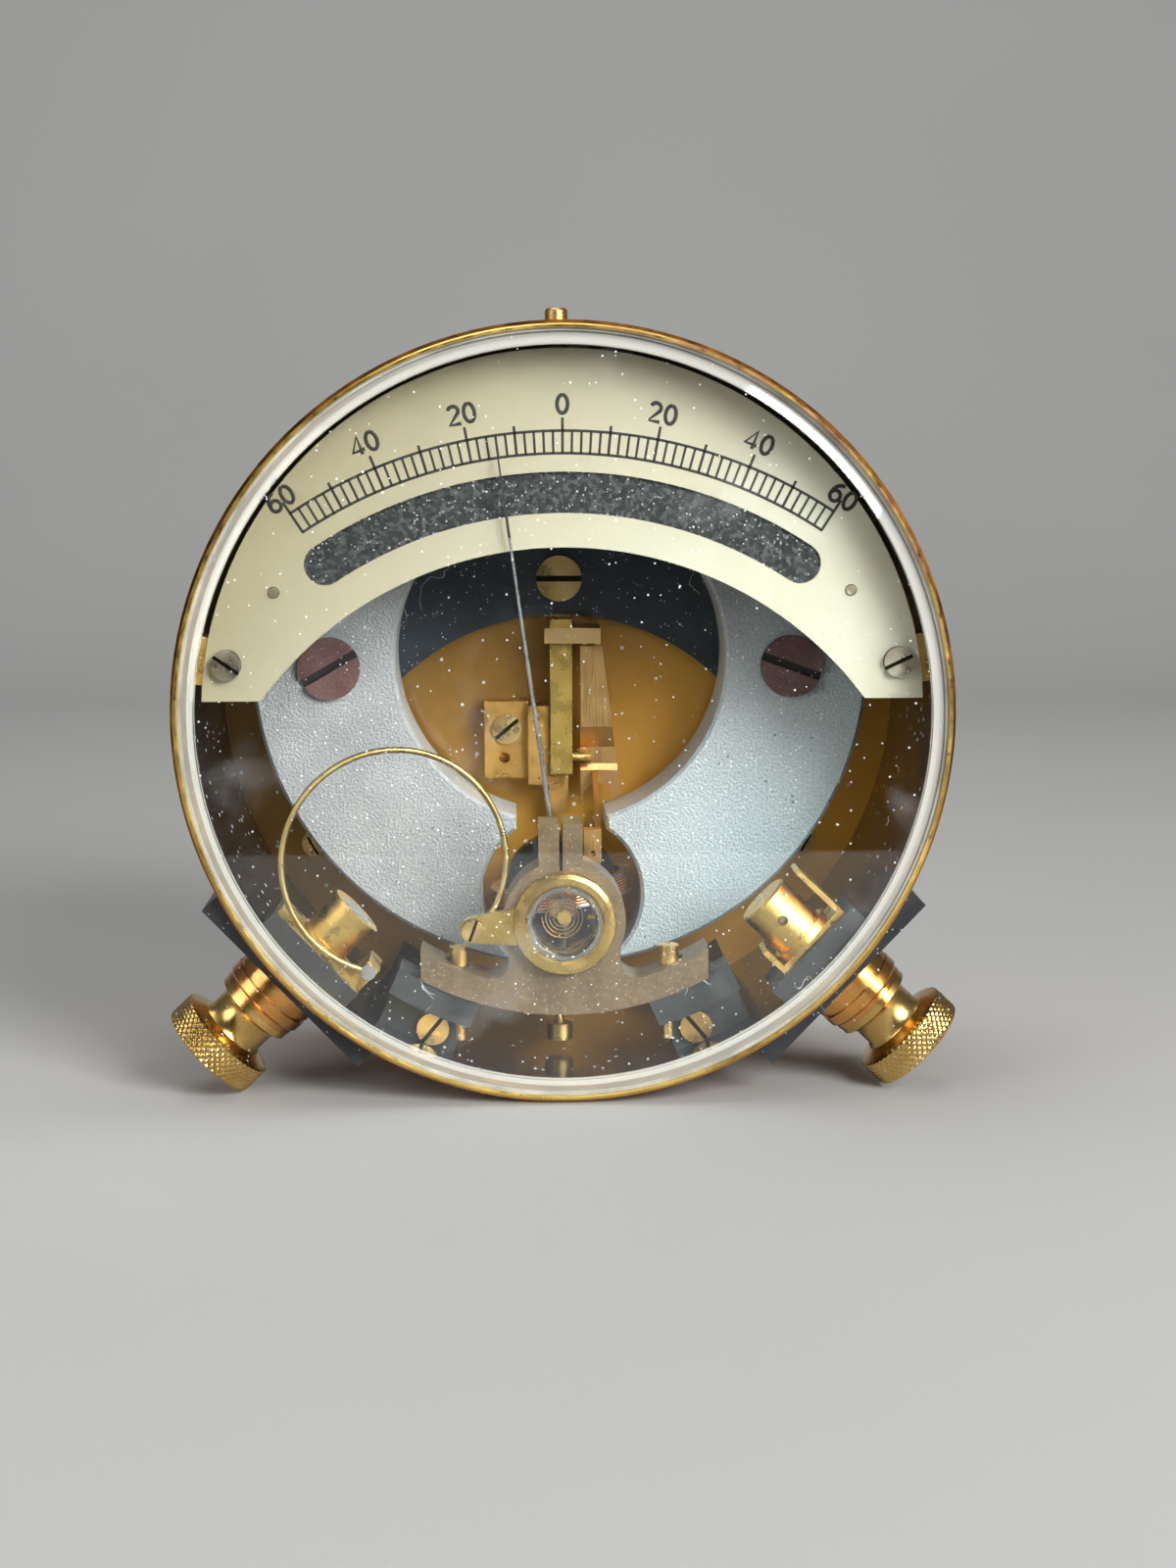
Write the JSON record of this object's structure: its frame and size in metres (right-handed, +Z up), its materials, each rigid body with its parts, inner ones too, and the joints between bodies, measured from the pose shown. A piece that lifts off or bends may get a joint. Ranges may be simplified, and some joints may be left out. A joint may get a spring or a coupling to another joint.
{
  "type": "galvanometer",
  "caption": "Round portable moving-coil galvanometer standing on the rim of its glazed drum, with a pointer, arc scale, zero setter, transit clamp and two side terminals.",
  "frame": {"origin": "middle of the bounding box at the table, under the drum", "axes": "+X to the viewer's right, +Y from the glass to the back, +Z up; the drum's axis lies along Y"},
  "size_m": [0.1164, 0.052, 0.1158],
  "materials": {
    "lacquered_brass": "deep orange lacquer over brass",
    "bezel_brass": "tarnished golden brass",
    "yellow_brass": "bright brass",
    "bronze": "brushed bronze",
    "black_packing": "matt",
    "clear_glass": "clear",
    "ivory_plate": "satin ivory paint",
    "mirror_strip": "silvered",
    "magnet_casting": "fine grey casting",
    "ebonite": "satin black",
    "red_screw": "dark red lacquer",
    "bridge_paint": "brown paint",
    "soft_iron": "polished",
    "jewel": "polished",
    "wire_metal": "pale wire",
    "tinned_metal": "tinned",
    "steel": "turned",
    "copper": "insulated copper winding",
    "nickel": "nickel plate",
    "aluminium": "drawn",
    "black_enamel": "satin black"
  },
  "bodies": {
    "case": {"case_drum": "lacquered_brass", "bezel_ring": "bezel_brass", "glass_packing": "black_packing", "front_glass": "clear_glass", "scale_plate": "ivory_plate", "scale_mirror": "mirror_strip", "scale_lugs": "yellow_brass", "scale_screws": "yellow_brass", "scale_rivets": "yellow_brass", "magnet": "magnet_casting", "backing_plate": "ebonite", "magnet_spacers": "yellow_brass", "magnet_screws": "red_screw", "backing_screw": "yellow_brass", "horn_screws": "yellow_brass", "pivot_bridge": "bridge_paint", "bridge_pads": "ebonite", "bridge_pillars": "yellow_brass", "bridge_screws": "yellow_brass", "pillar_screws": "yellow_brass", "iron_core": "soft_iron", "core_jewel": "jewel", "core_bracket": "yellow_brass", "core_screw": "yellow_brass", "lead_wire": "wire_metal", "lead_post": "tinned_metal", "clamp_crosshead": "bronze", "lever_pin": "steel", "guide_block": "yellow_brass", "guide_screw": "yellow_brass", "terminal_pads": "ebonite", "inner_blocks": "ebonite", "terminal_collars": "lacquered_brass", "terminal_studs": "steel", "contact_strap": "yellow_brass", "capstan_nut": "yellow_brass", "resistance_spool": "copper", "terminal_tag": "yellow_brass"},
    "zero_setter": {"zero_ring": "bezel_brass", "lens_rim": "nickel", "zero_lens": "clear_glass", "arm_screw": "yellow_brass"},
    "moving_coil": {"coil_former": "aluminium", "coil_winding": "copper", "coil_staff": "yellow_brass", "pivot_needle": "steel", "spring_collet": "yellow_brass", "hairspring": "bronze", "pointer": "aluminium", "pointer_tip": "black_enamel", "counterweight": "yellow_brass"},
    "clamp_slider": {"clamp_knob": "bezel_brass", "clamp_slide": "yellow_brass", "cam_pin": "yellow_brass"},
    "clamp_rocker": {"clamp_lever": "bronze"},
    "right_washer": {"clamp_washer_right": "lacquered_brass"},
    "right_nut": {"clamp_nut_right": "lacquered_brass"},
    "left_washer": {"clamp_washer_left": "lacquered_brass"},
    "left_nut": {"clamp_nut_left": "lacquered_brass"}
  },
  "joints": [
    {"name": "coil_turn", "type": "hinge", "parent": "case", "child": "moving_coil", "pos_m": [0, 0.012, 0.0254], "axis": [0, -1, 0], "range_deg": [-44.6, 29.2], "stiffness_Nm_per_rad": 0.0002, "deforming": ["hairspring"]},
    {"name": "zero_turn", "type": "hinge", "parent": "case", "child": "zero_setter", "pos_m": [0, -0.0176, 0.0254], "axis": [0, -1, 0], "range_deg": [-12, 12], "deforming": ["lead_wire"]},
    {"name": "clamp_press", "type": "slide", "parent": "case", "child": "clamp_slider", "axis": [0, 0, 1], "range_m": [-0.002, 0]},
    {"name": "lever_rock", "type": "hinge", "parent": "case", "child": "clamp_rocker", "pos_m": [0.00495, 0.0174, 0.0617], "axis": [1, 0, 0], "range_deg": [0, 1.1]},
    {"name": "right_washer_slide", "type": "slide", "parent": "case", "child": "right_washer", "axis": [0.7242, 0, -0.6896], "range_m": [0, 0.003]},
    {"name": "right_nut_turn", "type": "hinge", "parent": "right_washer", "child": "right_nut", "pos_m": [0.04779, -0.0155, 0.01048], "axis": [0.7242, 0, -0.6896], "range_deg": [0, 1080]},
    {"name": "left_washer_slide", "type": "slide", "parent": "case", "child": "left_washer", "axis": [-0.7242, 0, -0.6896], "range_m": [0, 0.003]},
    {"name": "left_nut_turn", "type": "hinge", "parent": "left_washer", "child": "left_nut", "pos_m": [-0.04779, -0.0155, 0.01048], "axis": [-0.7242, 0, -0.6896], "range_deg": [0, 1080]}
  ],
  "couplings": [
    {"joint": "lever_rock", "follows": "clamp_press", "rad_per_m": -9.5},
    {"joint": "right_washer_slide", "follows": "right_nut_turn", "m_per_rad": 0.00015915},
    {"joint": "left_washer_slide", "follows": "left_nut_turn", "m_per_rad": 0.00015915}
  ]
}
